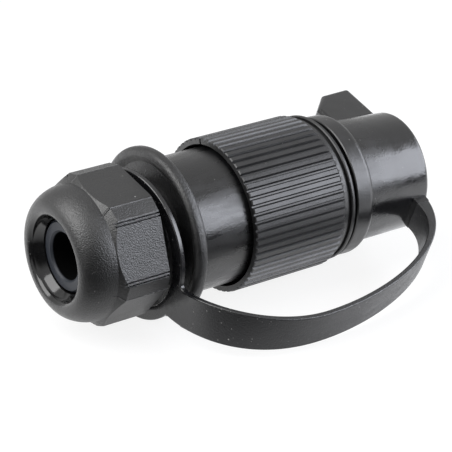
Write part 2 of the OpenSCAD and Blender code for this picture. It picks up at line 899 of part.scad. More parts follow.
module terminal_screws() {
    slot_w = 0.4;
    slot_depth = 0.5;
    bite = 0.6;
    head_z = terminal_r + fit_gap;
    color("#b8b8bc")
        for (angle = [LINE, NEUTRAL, EARTH])
            rotate([angle, 0, 0])
                translate([screw_x, pin_circle_r, 0])
                    rotate([-90, 0, 0])
                        difference() {
                            union() {
                                translate([0, 0, wire_r - bite])
                                    cylinder(h = bite + terminal_wall + 2 * fit_gap, d = screw_d);
                                translate([0, 0, head_z]) cylinder(h = screw_head_t, r = screw_head_r);
                            }
                            translate([-screw_head_r, -slot_w / 2, head_z + screw_head_t - slot_depth])
                                cube([2 * screw_head_r, slot_w, slot_depth + over]);
                        }
}

gland_nut();
gland_seal();
clamp_cage();
cage_washer();
neck_seal();
body_shell();
tether_ring();
strap();
dust_cap();
coupling_ring();
slip_washer();
ring_clip();
nose_shell();
nose_seal();
face_seal();
pin_carrier();
carrier_seal();
line_pin();
neutral_pin();
earth_pin();
terminal_screws();
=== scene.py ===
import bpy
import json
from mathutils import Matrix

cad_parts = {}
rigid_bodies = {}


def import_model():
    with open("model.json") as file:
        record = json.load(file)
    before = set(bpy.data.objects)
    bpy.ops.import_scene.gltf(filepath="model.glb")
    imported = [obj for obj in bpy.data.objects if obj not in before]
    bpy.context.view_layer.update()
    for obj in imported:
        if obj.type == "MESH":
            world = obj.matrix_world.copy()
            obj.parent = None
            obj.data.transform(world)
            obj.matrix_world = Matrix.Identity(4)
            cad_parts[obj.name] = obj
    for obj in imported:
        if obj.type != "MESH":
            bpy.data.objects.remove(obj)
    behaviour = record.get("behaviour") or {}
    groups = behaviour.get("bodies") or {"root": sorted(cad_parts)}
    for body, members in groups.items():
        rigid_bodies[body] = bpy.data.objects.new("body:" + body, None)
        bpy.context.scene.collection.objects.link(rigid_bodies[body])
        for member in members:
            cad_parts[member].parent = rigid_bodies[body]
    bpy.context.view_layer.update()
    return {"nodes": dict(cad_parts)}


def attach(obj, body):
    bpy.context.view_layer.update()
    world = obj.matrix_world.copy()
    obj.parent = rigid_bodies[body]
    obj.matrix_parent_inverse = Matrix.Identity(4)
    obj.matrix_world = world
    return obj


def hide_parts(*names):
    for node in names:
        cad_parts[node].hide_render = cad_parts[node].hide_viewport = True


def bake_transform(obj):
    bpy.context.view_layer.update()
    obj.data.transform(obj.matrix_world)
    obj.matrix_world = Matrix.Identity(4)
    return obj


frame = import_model()

# %% [markdown]
# A three-pin cable plug lies on a white table with its rubber dust cap on. The CAD model
# brings every piece as an object of its own, in place and tied to the body that carries
# it. This script leaves those shapes as they are. It gives them finishes and soft edges,
# adds the pieces that CAD keeps plain, and sets up the table, the light and the camera.

# %% Tools and units
import json
import math

import bpy
import numpy as np
from mathutils import Matrix, Vector

MM = 0.001  # Blender counts in metres, a maker of plugs in millimetres
nodes = frame["nodes"]
scene = bpy.context.scene
print("pieces from CAD:", ", ".join(sorted(nodes)))

# %% [markdown]
# A finish could be painted on a picture and wrapped round the piece, but a picture needs
# unwrapping and shows its pixels from close by. Here each finish is a net of shader nodes
# that works out colour, gloss and relief from the place on the object. It is as fine as
# it has to be, and it fits every piece as it is. Wiring a net takes many lines, so a
# small class does it: it adds a node, feeds a socket with a value or with another node,
# and knows the two sums that come up all the time.


# %% A net of nodes
class Net:
    """Adds nodes to a tree and wires them."""

    def __init__(self, tree):
        self.tree = tree

    def add(self, kind, **settings):
        node = self.tree.nodes.new(kind)
        for key, value in settings.items():
            setattr(node, key, value)
        return node

    def feed(self, socket, value):
        """Links a socket to another node's output, or sets it to a plain value."""
        if isinstance(value, bpy.types.NodeSocket):
            self.tree.links.new(value, socket)
        else:
            socket.default_value = value

    def calc(self, operation, a, b=0.0):
        node = self.add("ShaderNodeMath", operation=operation)
        self.feed(node.inputs[0], a)
        self.feed(node.inputs[1], b)
        return node.outputs[0]

    def ramp(self, value, low, high, to_low, to_high, **settings):
        """Maps low..high to to_low..to_high and holds both ends."""
        node = self.add("ShaderNodeMapRange", clamp=True, **settings)
        keys = ("Value", "From Min", "From Max", "To Min", "To Max")
        for key, number in zip(keys, (value, low, high, to_low, to_high)):
            self.feed(node.inputs[key], number)
        return node.outputs[0]


print("a net can:", ", ".join(key for key in vars(Net) if not key.startswith("_")))

# %% [markdown]
# No moulded surface is even. The mould leaves a grain, the melt cools with faint clouds
# in colour and gloss, and dust settles later. All of this is noise at different sizes. So
# a finish starts with the place on the object, and three helpers are enough: one for the
# noise, one to blend two colours by it, and one to turn it into relief. The relief only
# tilts the light. It serves for grain of a tenth of a millimetre, which would need
# millions of faces as a real shape.

# %% A finish, and noise for it
NOISE_ROUGHNESS = 0.55


class Finish(Net):
    """A net with a shader for solid surfaces; it reads the place on the object."""

    def __init__(self, name):
        self.material = bpy.data.materials.new(name)
        self.material.use_nodes = True
        super().__init__(self.material.node_tree)
        self.shader = self.tree.nodes["Principled BSDF"].inputs
        self.place = self.add("ShaderNodeTexCoord").outputs["Object"]


def noise(finish, size_mm, detail=3.0, stretch=None):
    """Soft noise with patches of about this size."""
    place = finish.place
    if stretch is not None:
        scaled = finish.add("ShaderNodeVectorMath", operation="MULTIPLY")
        finish.feed(scaled.inputs[0], place)
        finish.feed(scaled.inputs[1], stretch)
        place = scaled.outputs[0]
    node = finish.add("ShaderNodeTexNoise")
    finish.feed(node.inputs["Scale"], 1.0 / (size_mm * MM))
    finish.feed(node.inputs["Detail"], detail)
    finish.feed(node.inputs["Roughness"], NOISE_ROUGHNESS)
    finish.feed(node.inputs["Vector"], place)
    return node.outputs[0]


print("ready: a finish and its noise, with a roughness of", NOISE_ROUGHNESS)


# %% Two colours, and relief
def blend_colours(finish, amount, a, b):
    node = finish.add("ShaderNodeMix", data_type="RGBA")
    finish.feed(node.inputs["Factor"], amount)
    for socket, colour in ((node.inputs[6], a), (node.inputs[7], b)):
        finish.feed(socket, (*colour, 1.0) if isinstance(colour, tuple) else colour)
    return node.outputs[2]


def relief(finish, height, depth_mm, under=None):
    """Tilts the surface as if it rose by this depth where the height is 1."""
    node = finish.add("ShaderNodeBump")
    finish.feed(node.inputs["Distance"], depth_mm * MM)
    finish.feed(node.inputs["Strength"], 1.0)
    finish.feed(node.inputs["Height"], height)
    if under is not None:
        finish.feed(node.inputs["Normal"], under)
    return node.outputs["Normal"]


print("ready: blended colours and relief")

# %% [markdown]
# Nearly every piece of the plug is black plastic or black rubber, and they differ only in
# how fine, how glossy and how dusty they are. Ten materials could be wired one by one.
# One recipe with these differences as its values is shorter, and the pieces stay a
# family. A piece may be polished in one place, and it may add something of its own last.

# %% Uneven colour and gloss
CLOUD_MM, SPECK_MM, RUB_MM = 7.0, 0.55, 1.6
MIDDLE, MOST = (0.35, 0.65), (0.3, 0.7)  # shares of the noise's range that are used
SPECK_EDGE = 0.035
DUST = (0.45, 0.44, 0.42)
CLOUD_GLOSS = (-0.02, 0.03)
ALONG_AXIS = (0.25, 1.0, 1.0)  # rubbing marks are four times as long along the plug


def cloudy_colour(finish, cloud, dark, light, dust, speck):
    """Clouds between two colours, with specks of dust where a finer noise peaks."""
    colour = blend_colours(finish, finish.ramp(cloud, *MIDDLE, 0.0, 1.0), dark, light)
    if dust:
        specks = noise(finish, SPECK_MM, detail=1.0)
        amount = finish.ramp(specks, speck, speck + SPECK_EDGE, 0.0, dust)
        colour = blend_colours(finish, amount, colour, DUST)
    return colour


def uneven_gloss(finish, cloud, rough, patch):
    """A roughness that wanders with the clouds and with rubbing marks."""
    marks = noise(finish, RUB_MM, detail=4.0, stretch=ALONG_AXIS)
    rubbed = finish.ramp(marks, *MOST, -patch, patch)
    wander = finish.calc("ADD", rubbed, finish.ramp(cloud, *MOST, *CLOUD_GLOSS))
    return finish.calc("ADD", wander, rough)


print("clouds of", CLOUD_MM, "mm, specks of", SPECK_MM, "mm, rubbing marks of", RUB_MM, "mm")

# %% The recipe for moulded pieces
WAVE_MM = 5.0


def moulded(name, dark, light, rough, grain_mm, grain_depth, dust=0.0, speck=0.775,
            patch=0.03, wave=0.0, polish=None, extra=None, shine=0.5, metal=0.0):
    """A material; polish says where, by how much and how shiny, extra adds to the rest."""
    finish = Finish(name)
    cloud = noise(finish, CLOUD_MM)
    grain = noise(finish, grain_mm, detail=2.0)
    colour = cloudy_colour(finish, cloud, dark, light, dust, speck)
    gloss = uneven_gloss(finish, cloud, rough, patch)
    normal = relief(finish, noise(finish, WAVE_MM, detail=1.0), wave) if wave else None
    if polish is not None:
        unpolished, drop, polished_shine = polish
        left = unpolished(finish)
        grain = finish.calc("MULTIPLY", grain, left)
        gloss = finish.calc("SUBTRACT", gloss, finish.ramp(left, 0.0, 1.0, drop, 0.0))
        shine = finish.ramp(left, 0.0, 1.0, polished_shine, shine)
    normal = relief(finish, grain, grain_depth, under=normal)
    finish.feed(finish.shader["Specular IOR Level"], shine)
    finish.feed(finish.shader["Metallic"], metal)
    if extra is not None:
        colour, gloss, normal = extra(finish, colour, gloss, normal)
    for key, value in (("Base Color", colour), ("Roughness", gloss), ("Normal", normal)):
        finish.feed(finish.shader[key], value)
    print(name, "has", len(finish.tree.nodes), "nodes")
    return finish.material


print("ready: the recipe, with waves of", WAVE_MM, "mm")

# %% [markdown]
# Finishes change from place to place: a mouth is smoother than the outside, a collar
# duller than the barrel. Such borders could be painted as masks, one for each piece. But
# this plug is built round one axis, the X axis of the model. So a point's place along the
# axis, its distance from it and its angle round it tell where on the plug it is, and a
# border is only a pair of numbers in millimetres, between which one finish fades into
# the other.


# %% Where a point lies on the plug
def on_plug(finish):
    """Place along the axis and distance from it in mm, and angle round it in turns."""
    parts = finish.add("ShaderNodeSeparateXYZ")
    finish.feed(parts.inputs[0], finish.place)
    x, y, z = parts.outputs
    square = finish.calc("ADD", finish.calc("MULTIPLY", y, y), finish.calc("MULTIPLY", z, z))
    radius = finish.calc("MULTIPLY", finish.calc("SQRT", square), 1.0 / MM)
    turns = finish.calc("DIVIDE", finish.calc("ARCTAN2", z, y), 2.0 * math.pi)
    return finish.calc("MULTIPLY", x, 1.0 / MM), radius, turns


print("ready: the place on the plug")

# %% [markdown]
# The gland nut has a coarse grain outside, a smooth mouth, and a fine raised line along
# each edge of its plain flats, where parts of the mould met. The lines could be thin bars
# of mesh, but at a tenth of a millimetre they only ever show as a glint, which relief
# gives as well. The grain is relief too, and fades out at the edge of the mouth.

# %% Satin black: the gland nut
MOUTH_EDGE = (8.9, 9.6)  # mm from the axis
PLAIN_FLAT_HALF = 5.9  # mm from the middle of a plain flat to its edges
PLAIN_FLAT_AT = 224.0 / 360.0  # turns round the axis
HALF_REPEAT = 1.0 / 6.0  # turns, as every second flat of the six is plain
LINE_TOP, LINE_FOOT, LINE_RISE = 0.05, 0.22, 0.10  # mm, two half widths and the height
DOME_END = (2.5, 3.5)  # mm along the axis


def outside_mouth(finish):
    """0 in the nut's smooth mouth, 1 on its grained outside."""
    x, radius, turns = on_plug(finish)
    return finish.ramp(radius, *MOUTH_EDGE, 0.0, 1.0)


def flash_lines(finish, colour, gloss, normal):
    """Fine raised lines along both edges of the nut's plain flats."""
    x, radius, turns = on_plug(finish)
    away = finish.calc("PINGPONG", finish.calc("SUBTRACT", turns, PLAIN_FLAT_AT), HALF_REPEAT)
    sine = finish.calc("SINE", finish.calc("MULTIPLY", away, 2.0 * math.pi))
    side = finish.calc("MULTIPLY", radius, sine)
    gap = finish.calc("ABSOLUTE", finish.calc("SUBTRACT", side, PLAIN_FLAT_HALF))
    line = finish.ramp(gap, LINE_TOP, LINE_FOOT, 1.0, 0.0)
    line = finish.calc("MULTIPLY", line, finish.ramp(x, *DOME_END, 0.0, 1.0))
    return colour, gloss, relief(finish, line, LINE_RISE, under=normal)


SATIN = moulded("satin_black", (0.006, 0.006, 0.0065), (0.009, 0.009, 0.009), rough=0.38,
                grain_mm=0.28, grain_depth=0.11, dust=0.5, polish=(outside_mouth, 0.27, 0.75),
                extra=flash_lines, shine=1.0)

# %% [markdown]
# Fingers turn the coupling ring by its ribs and rub their crests a little lighter. A
# second colour on the crest faces would end at a hard edge. The distance from the axis
# fades the wear in towards the crests, and noise makes it patchy, as real wear is.

# %% Ribbed black: the coupling ring
CREST = (15.45, 15.85)  # mm from the axis
WEAR_MM, WEAR_MOST, WEAR_LEAST = 2.2, 0.55, 0.2
WORN = (0.022, 0.022, 0.023)


def worn_crests(finish, colour, gloss, normal):
    x, radius, turns = on_plug(finish)
    patchy = finish.ramp(noise(finish, WEAR_MM, detail=4.0), *MIDDLE, WEAR_LEAST, 1.0)
    crest = finish.calc("MULTIPLY", finish.ramp(radius, *CREST, 0.0, WEAR_MOST), patchy)
    return blend_colours(finish, crest, colour, WORN), gloss, normal


RIBBED = moulded("ribbed_black", (0.006, 0.006, 0.0065), (0.009, 0.009, 0.0095), rough=0.40,
                 grain_mm=0.4, grain_depth=0.03, dust=0.5, extra=worn_crests, shine=0.82)

# %% [markdown]
# The body is one moulding with two surfaces: the mould is polished along the barrel and
# left with a grain on the neck and the collar. Two materials would need the mesh cut
# between them. One material that changes along the axis leaves the mesh whole. A slow
# wave in the relief bends the reflections on the barrel, as cooling plastic does.

# %% Gloss black: the body and the nose
COLLAR_END = (22.0, 23.0)  # mm along the axis
COLLAR_GRAIN_MM, COLLAR_GRAIN_DEPTH, BARREL_SHARE = 0.3, 0.13, 0.12
COLLAR_DULL = 0.10


def satin_collar(finish, colour, gloss, normal):
    x, radius, turns = on_plug(finish)
    share = finish.ramp(x, *COLLAR_END, 1.0, BARREL_SHARE)
    grain = finish.calc("MULTIPLY", noise(finish, COLLAR_GRAIN_MM, detail=2.0), share)
    gloss = finish.calc("ADD", gloss, finish.ramp(x, *COLLAR_END, COLLAR_DULL, 0.0))
    return colour, gloss, relief(finish, grain, COLLAR_GRAIN_DEPTH, under=normal)


GLOSS = moulded("gloss_black", (0.004, 0.004, 0.0045), (0.006, 0.006, 0.0065), rough=0.29,
                grain_mm=0.35, grain_depth=0.03, dust=0.3, patch=0.11, wave=0.04,
                extra=satin_collar, shine=0.86)

# %% [markdown]
# The dust cap is soft rubber, dull at its skirt and rubbed smooth towards its end, where
# a hand pulls it off. The change could be a sharp ring, but handling leaves no sharp
# edge, so noise pushes the border to and fro. The black seals share the finish.

# %% Black rubber: the dust cap and the seals
RUBBED_FROM = (64.0, 73.0)  # mm along the axis
BORDER_MM, BORDER_SHIFT = 6.0, 3.0
SKIRT_DULL = 0.17


def rubbed_end(finish, colour, gloss, normal):
    x, radius, turns = on_plug(finish)
    border = noise(finish, BORDER_MM, detail=2.0)
    place = finish.calc("ADD", x, finish.ramp(border, *MIDDLE, -BORDER_SHIFT, BORDER_SHIFT))
    gloss = finish.calc("ADD", gloss, finish.ramp(place, *RUBBED_FROM, SKIRT_DULL, 0.0))
    return colour, gloss, normal


RUBBER = moulded("black_rubber", (0.005, 0.005, 0.0055), (0.007, 0.007, 0.008), rough=0.18,
                 grain_mm=0.4, grain_depth=0.03, dust=0.5, patch=0.07, wave=0.10,
                 extra=rubbed_end, shine=0.9)

# %% [markdown]
# The tether is the same rubber, with a smooth ring and a grained, dusty strap. It could
# share the cap's material. It gets one of its own because it picks up more dust than the
# cap, and because its border between smooth and grained lies elsewhere along the axis.

# %% Strap rubber: the tether
RING_END = (17.0, 18.5)  # mm along the axis


def on_strap(finish):
    """0 on the tether's smooth ring, 1 on its grained strap."""
    x, radius, turns = on_plug(finish)
    return finish.ramp(x, *RING_END, 0.0, 1.0)


STRAP = moulded("strap_rubber", (0.006, 0.006, 0.007), (0.009, 0.009, 0.010), rough=0.38,
                grain_mm=0.35, grain_depth=0.10, dust=0.6, speck=0.745, patch=0.06,
                polish=(on_strap, 0.14, 0.95), shine=0.84)

# %% [markdown]
# The seal in the nut's mouth is a bluish grey rubber whose hole is dull and painted dark
# as shade, so that it reads as deep. The hole could be left to the shadows alone, but a
# bright room shines into it from all sides. So the rubber inside gets painted shade, a
# darker colour, and less shine.

# %% Grey rubber: the gland seal
BORE_EDGE = (0.25, 0.6)  # mm along the axis
# painted shade: the near-black colour inside the seal's hole stands for the shadow there
BORE_PAINTED_SHADE = (0.002, 0.002, 0.002)
BORE_DULL, BORE_SHINE, SEAL_SHINE = 0.45, 0.06, 0.5


# Paints shade into the seal's hole: the colour darkens and the shine drops inside, fading in along
# the axis
def painted_bore_shade(finish, colour, gloss, normal):
    x, radius, turns = on_plug(finish)
    inside = finish.ramp(x, *BORE_EDGE, 0.0, 1.0)
    shine = finish.ramp(inside, 0.0, 1.0, SEAL_SHINE, BORE_SHINE)
    finish.feed(finish.shader["Specular IOR Level"], shine)
    gloss = finish.calc("ADD", gloss, finish.calc("MULTIPLY", inside, BORE_DULL))
    return blend_colours(finish, inside, colour, BORE_PAINTED_SHADE), gloss, normal


GREY = moulded("grey_rubber", (0.012, 0.016, 0.024), (0.016, 0.020, 0.030), rough=0.45,
               grain_mm=0.4, grain_depth=0.01, extra=painted_bore_shade)

# %% [markdown]
# The pieces behind the cap show only when it is pulled off, and some stay hidden inside:
# a red sealing ring, plain insulating plastic, brass pins and spring steel. Metals could
# have a recipe of their own, but the one for moulded pieces serves them too. They only
# need the metal value, a lower roughness and hardly any grain.

# %% The finishes under the cap
RED = moulded("red_rubber", (0.20, 0.05, 0.028), (0.26, 0.07, 0.035), rough=0.42,
              grain_mm=0.4, grain_depth=0.008)
NATURAL = moulded("natural_plastic", (0.09, 0.085, 0.076), (0.115, 0.108, 0.098), rough=0.42,
                  grain_mm=0.4, grain_depth=0.01)
BRASS = moulded("pin_brass", (0.62, 0.44, 0.19), (0.74, 0.55, 0.26), rough=0.2,
                grain_mm=0.5, grain_depth=0.002, metal=1.0)
STEEL = moulded("spring_steel", (0.46, 0.46, 0.48), (0.56, 0.56, 0.58), rough=0.28,
                grain_mm=0.5, grain_depth=0.002, metal=1.0)

# %% [markdown]
# Every object in Blender has a list of material slots, and a face uses the first one
# unless it is told otherwise. The finishes could be given one by one in the editor. A
# table of which pieces share a finish is easier to read and to change, and the loop over
# it empties the slots that came with the model before it puts the finish in.

# %% Each piece gets its finish
PIECES = {
    SATIN: ("gland_nut", "clamp_cage", "cage_washer"),
    RIBBED: ("coupling_ring",),
    GLOSS: ("body_shell", "nose_shell"),
    RUBBER: ("dust_cap", "tether_ring", "strap", "neck_seal", "face_seal", "carrier_seal"),
    GREY: ("gland_seal",),
    RED: ("nose_seal",),
    NATURAL: ("slip_washer", "pin_carrier"),
    BRASS: ("line_pin", "neutral_pin", "earth_pin"),
    STEEL: ("ring_clip", "terminal_screws"),
}
for material, names in PIECES.items():
    for name in names:
        nodes[name].data.materials.clear()
        nodes[name].data.materials.append(material)
    print(material.name, "on", ", ".join(names))

# %% [markdown]
# CAD meshes come as flat facets. Smooth shading hides the facets of round shapes, but it
# also smears light over flat faces and sharp edges. The meshes could be rebuilt with
# better faces. Modifiers do it without touching them: a weld joins the faces, a split
# keeps edges sharp, and weighted normals let large faces stay flat. Soft rubber has no
# sharp edges, so the cap also gets a bevel, whose width shows in the picture.

# %% Soft edges
SPLIT_DEG, BEVEL_DEG, BEVEL_STEPS = 30.0, 50.0, 3
WELD_MM = 0.002
ROUND_MM = {"dust_cap": 0.5}


def soften(obj, round_mm=0.0, angle=SPLIT_DEG):
    """Shades a piece smoothly, keeps its flat faces flat, and rounds its edges if asked."""
    obj.data.polygons.foreach_set("use_smooth", [True] * len(obj.data.polygons))
    obj.modifiers.new("weld", "WELD").merge_threshold = WELD_MM * MM
    if round_mm:
        bevel = obj.modifiers.new("round", "BEVEL")
        bevel.width = round_mm * MM
        bevel.segments = BEVEL_STEPS
        bevel.limit_method = "ANGLE"
        bevel.angle_limit = math.radians(BEVEL_DEG)
        bevel.use_clamp_overlap = True
    obj.modifiers.new("split", "EDGE_SPLIT").split_angle = math.radians(angle)
    flat = obj.modifiers.new("flat", "WEIGHTED_NORMAL")
    flat.mode = "FACE_AREA"
    flat.weight = 50


for name in nodes:
    soften(nodes[name], ROUND_MM.get(name, 0.0))
print("softened", len(nodes), "pieces; with a bevel:", ", ".join(ROUND_MM))

# %% [markdown]
# The gland nut runs on a thread round the body's neck, which shows when the nut is backed
# off. Relief in the material would look flat at the neck's outline, so the groove is a
# real shape: a bar with a pointed section, wound along the axis and cut out of a copy of
# the body. The copy then stands in for the CAD piece. The bar gets shallower at its end,
# so that the groove runs out as a cut thread does.


# %% A bar that winds along the axis
def skin(rings):
    """Points and faces of a closed bar through equal rings of points."""
    n = len(rings[0])
    faces = [
        (i * n + k, i * n + (k + 1) % n, (i + 1) * n + (k + 1) % n, (i + 1) * n + k)
        for i in range(len(rings) - 1) for k in range(n)
    ]
    last = (len(rings) - 1) * n
    faces += [tuple(range(n - 1, -1, -1)), tuple(range(last, last + n))]
    return [point for ring in rings for point in ring], faces


def winding(size, section, steps=60):
    """A thread's bar; its section runs out over the last part of a turn."""
    turns = (size["x1"] - size["x0"]) / size["pitch"]
    count = round(turns * steps)
    rings = []
    for i in range(count + 1):
        t = i / count
        a = 2 * math.pi * turns * t
        x = size["x0"] + (size["x1"] - size["x0"]) * t
        rise = min(1.0, (1 - t) * turns / size["run_out"])
        points = section(rise)
        rings.append([(x + along, r * math.cos(a), r * math.sin(a)) for along, r in points])
    return skin(rings)


NECK = {"x0": 3.5, "x1": 14.7, "pitch": 1.5, "run_out": 0.7}
GROOVE_TOP, GROOVE_ROOT, GROOVE_HALF, GROOVE_LEAST = 11.3, 10.3, 0.72, 0.1


def groove_section(rise):
    depth = (GROOVE_TOP - GROOVE_ROOT) * (GROOVE_LEAST + (1 - GROOVE_LEAST) * rise)
    return [(-GROOVE_HALF, GROOVE_TOP), (0.0, GROOVE_TOP - depth), (GROOVE_HALF, GROOVE_TOP)]


groove = winding(NECK, groove_section)
print("groove:", len(groove[0]), "points and", len(groove[1]), "faces")


# %% [markdown]
# Cutting one solid out of another is a boolean. Its exact solver copes with a bar that
# crosses the neck's surface all along its length, where the fast one may leave holes. It
# works as a modifier, so the finished mesh is read back from the evaluated object. Then
# the new body is tied to the model: it rides on the root body and it replaces the CAD
# piece, which is hidden.


# %% The body with a thread on its neck
def solid(name, verts, faces):
    """An object from points in mm and faces."""
    mesh = bpy.data.meshes.new(name)
    mesh.from_pydata([tuple(float(c) * MM for c in p) for p in verts], [], faces)
    mesh.validate()
    obj = bpy.data.objects.new(name, mesh)
    scene.collection.objects.link(obj)
    return obj


def carved(name, base, tool, operation):
    """A new object from two closed ones, which are used up."""
    base.modifiers.new("weld", "WELD").merge_threshold = WELD_MM * MM
    cut = base.modifiers.new("cut", "BOOLEAN")
    cut.operation = operation
    cut.solver = "EXACT"
    cut.object = tool
    bpy.context.view_layer.update()
    result = base.evaluated_get(bpy.context.evaluated_depsgraph_get())
    mesh = bpy.data.meshes.new_from_object(result)
    bpy.data.objects.remove(base)
    bpy.data.objects.remove(tool)
    obj = bpy.data.objects.new(name, mesh)
    scene.collection.objects.link(obj)
    return obj


shell = bpy.data.objects.new("shell", nodes["body_shell"].data.copy())
scene.collection.objects.link(shell)
body = carved("threaded_body", shell, solid("groove", *groove), "DIFFERENCE")
soften(body)
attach(body, "root")
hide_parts("body_shell")
print("threaded body:", len(body.data.polygons), "faces")

# %% [markdown]
# The tether is one rubber moulding: a flat ring that hangs on the neck, with a tongue
# that bends into the strap and ends at the cap. CAD makes the ring and the strap as two
# solids, because one stays and the other stretches. Here they become one skin with
# rounded edges. The strap's middle line is two smooth curves that meet at the far end of
# the loop. A cloth simulation could find that line too, but a thick moulded strap keeps
# the shape it was made in.

# %% The strap's route
TETHER = {"x": 16.1, "drop": 1.5, "tilt": math.radians(4.0), "t": 1.2, "r": 15.5, "hole": 12.75}
TONGUE = {"reach": 17.5, "low": 8.5, "fillet": 1.2, "waist": 0.9}
CAP = {"x": 61.2, "shift": 0.45, "tilt": math.radians(2.8)}
STRAP_ANGLE = math.radians(23.5)
STUB_X, STUB_REACH = 17.7, 13.5
LOOP_END = np.array([38.8, -32.3, -13.0])
SEAM = 0.03
TONGUE_PULL, LOOP_PULL_IN, LOOP_PULL_OUT, CAP_PULL = 10.5, 11.5, 17.5, 11.6  # curve handles


def cap_point(x, y):
    """A point in the plane of the strap's root, x along the cap and y out from its axis."""
    side = CAP["shift"] + x * math.sin(CAP["tilt"]) + y * math.cos(CAP["tilt"])
    along = CAP["x"] + x * math.cos(CAP["tilt"]) - y * math.sin(CAP["tilt"])
    return np.array([along, -side * math.cos(STRAP_ANGLE), -side * math.sin(STRAP_ANGLE)])


LEAN = np.array([math.tan(TETHER["tilt"]), -1.0, 0.0])  # the way the tongue points
TONGUE_ROOT = np.array([TETHER["x"], 0, -TETHER["drop"] - TONGUE["low"]])
TONGUE_END = TONGUE_ROOT + (TONGUE["reach"] + SEAM) * LEAN
STRAP_END = cap_point(STUB_X, STUB_REACH + SEAM)
FROM_TONGUE = [
    TONGUE_END, TONGUE_END + TONGUE_PULL * LEAN, LOOP_END - [LOOP_PULL_IN, 0, 0], LOOP_END,
]
TO_CAP = [
    LOOP_END, LOOP_END + [LOOP_PULL_OUT, 0, 0], cap_point(STUB_X, STUB_REACH + CAP_PULL), STRAP_END,
]
print("strap from", TONGUE_END.round(1), "by", LOOP_END, "to", STRAP_END.round(1), "mm")

# %% [markdown]
# The strap isn't the same all along. It leaves the tongue upright and nearly as thick as
# the ring, is thinnest in the loop, and thickens into a root at the cap, where it also
# leans. One section swept along the whole route could not do that. So the route is cut
# into stations, and each one has its own middle, heading, twist, thickness and width.
# Both ends run on a little into what they join, so that no gap can open there.

# %% Stations along the strap
STRAP_W, STRAP_T, ROOT_W, ROOT_T = 7.8, 1.1, 7.2, 3.0
TUCK = 0.01  # mm by which the strap's start stays inside the skin of the tongue


def bezier(p, t):
    u = 1 - t
    return u ** 3 * p[0] + 3 * u * u * t * p[1] + 3 * u * t * t * p[2] + t ** 3 * p[3]


def heading(p, t):
    u = 1 - t
    d = u * u * (p[1] - p[0]) + 2 * u * t * (p[2] - p[1]) + t * t * (p[3] - p[2])
    return d / np.linalg.norm(d)


def ease(t):
    return t * t * (3 - 2 * t)


def strap_stations(steps=56, into_tongue=2.6, into_cap=1.2):
    """Middle, heading, twist, thickness and width of the strap, from the tongue to the cap."""
    start_t, start_w = TETHER["t"] - TUCK, STRAP_W - TUCK
    end_t, end_w = ROOT_T - 2 * TUCK, ROOT_W - 2 * TUCK
    along = LEAN / np.linalg.norm(LEAN)
    rows = [(TONGUE_END - LEAN * into_tongue, along, 0.0, start_t, start_w)]
    for t in np.arange(steps + 1) / steps:
        thick = STRAP_T + (start_t - STRAP_T) * (1 - t) ** 4
        wide = STRAP_W + (start_w - STRAP_W) * (1 - t) ** 4
        twist = STRAP_ANGLE * ease(t)
        rows.append((bezier(FROM_TONGUE, t), heading(FROM_TONGUE, t), twist, thick, wide))
    for t in np.arange(1, steps + 1) / steps:
        thick = STRAP_T + (end_t - STRAP_T) * t ** 5
        wide = STRAP_W + (end_w - STRAP_W) * ease(t)
        rows.append((bezier(TO_CAP, t), heading(TO_CAP, t), STRAP_ANGLE, thick, wide))
    middle, along, *rest = rows[-1]
    return rows + [(middle + into_cap * along, along, *rest)]


stations = strap_stations()
strap_length = sum(np.linalg.norm(b[0] - a[0]) for a, b in zip(stations, stations[1:]))
print("strap:", len(stations), "stations over", round(strap_length, 1), "mm")

# %% [markdown]
# Each station gets a flat section with round corners, set square to the route and turned
# a little, since the strap leaves the ring upright and meets the cap aslant. The skin
# over these sections is the strap. A curve with a bevel object would do this too, but
# then its thickness and its width could not change each in its own way towards the cap.

# %% The strap's skin
TETHER_EDGE = 0.3  # mm, the radius of its rounded edges


def band_section(width, thick, radius=TETHER_EDGE, corner=4):
    """A flat band's section with round corners, as pairs of across and out."""
    points = []
    for side, face, turn in ((1, 1, 0), (-1, 1, 90), (-1, -1, 180), (1, -1, 270)):
        for k in range(corner + 1):
            a = math.radians(turn + 90 * k / corner)
            points.append((
                side * (width / 2 - radius) + radius * math.cos(a),
                face * (thick / 2 - radius) + radius * math.sin(a),
            ))
    return points


def strap_skin():
    rings = []
    for middle, along, twist, thick, wide in stations:
        out = np.cross(along, [0, -math.sin(twist), math.cos(twist)])
        out = out / np.linalg.norm(out)
        across = np.cross(out, along)
        rings.append([middle + across * a + out * o for a, o in band_section(wide, thick)])
    return skin(rings)


band = strap_skin()
print("band:", len(band[0]), "points and", len(band[1]), "faces")

# %% [markdown]
# The ring and its tongue are a flat plate with one outline and one hole. Faces could be
# stitched between the two by hand. But Blender fills a flat curve between its outlines,
# gives it thickness and rounds its edges in one go, and the rounding has the same width
# all round.


# %% The plate's outline
def plate_outline(side_steps=8, ring_steps=120):
    """The ring with its tongue, seen along the plug's axis, in mm."""
    r = TETHER["r"]
    top_z = STRAP_W / 2 - TONGUE["low"]
    low_z = top_z - STRAP_W
    tip_y = TONGUE["reach"] / math.cos(TETHER["tilt"])
    fillet_z = top_z + TONGUE["fillet"]
    fillet_y = math.sqrt(r * r - fillet_z ** 2)
    waist_z = low_z + TONGUE["waist"]
    waist_y = math.sqrt(r * r - waist_z * waist_z)
    points = []
    for i in range(side_steps + 1):
        t = i / side_steps
        rise = TONGUE["fillet"] * (1 - t) ** 2
        points.append((-fillet_y - (tip_y - fillet_y) * t * t, top_z + rise))
    for i in range(side_steps):
        t = i / side_steps
        points.append((-tip_y + (tip_y - waist_y) * t, low_z + TONGUE["waist"] * t * t))
    a0 = math.atan2(waist_z, -waist_y)
    a1 = math.atan2(fillet_z, -fillet_y) + 2 * math.pi
    for i in range(ring_steps):
        a = a0 + (a1 - a0) * i / ring_steps
        points.append((r * math.cos(a), r * math.sin(a)))
    return points


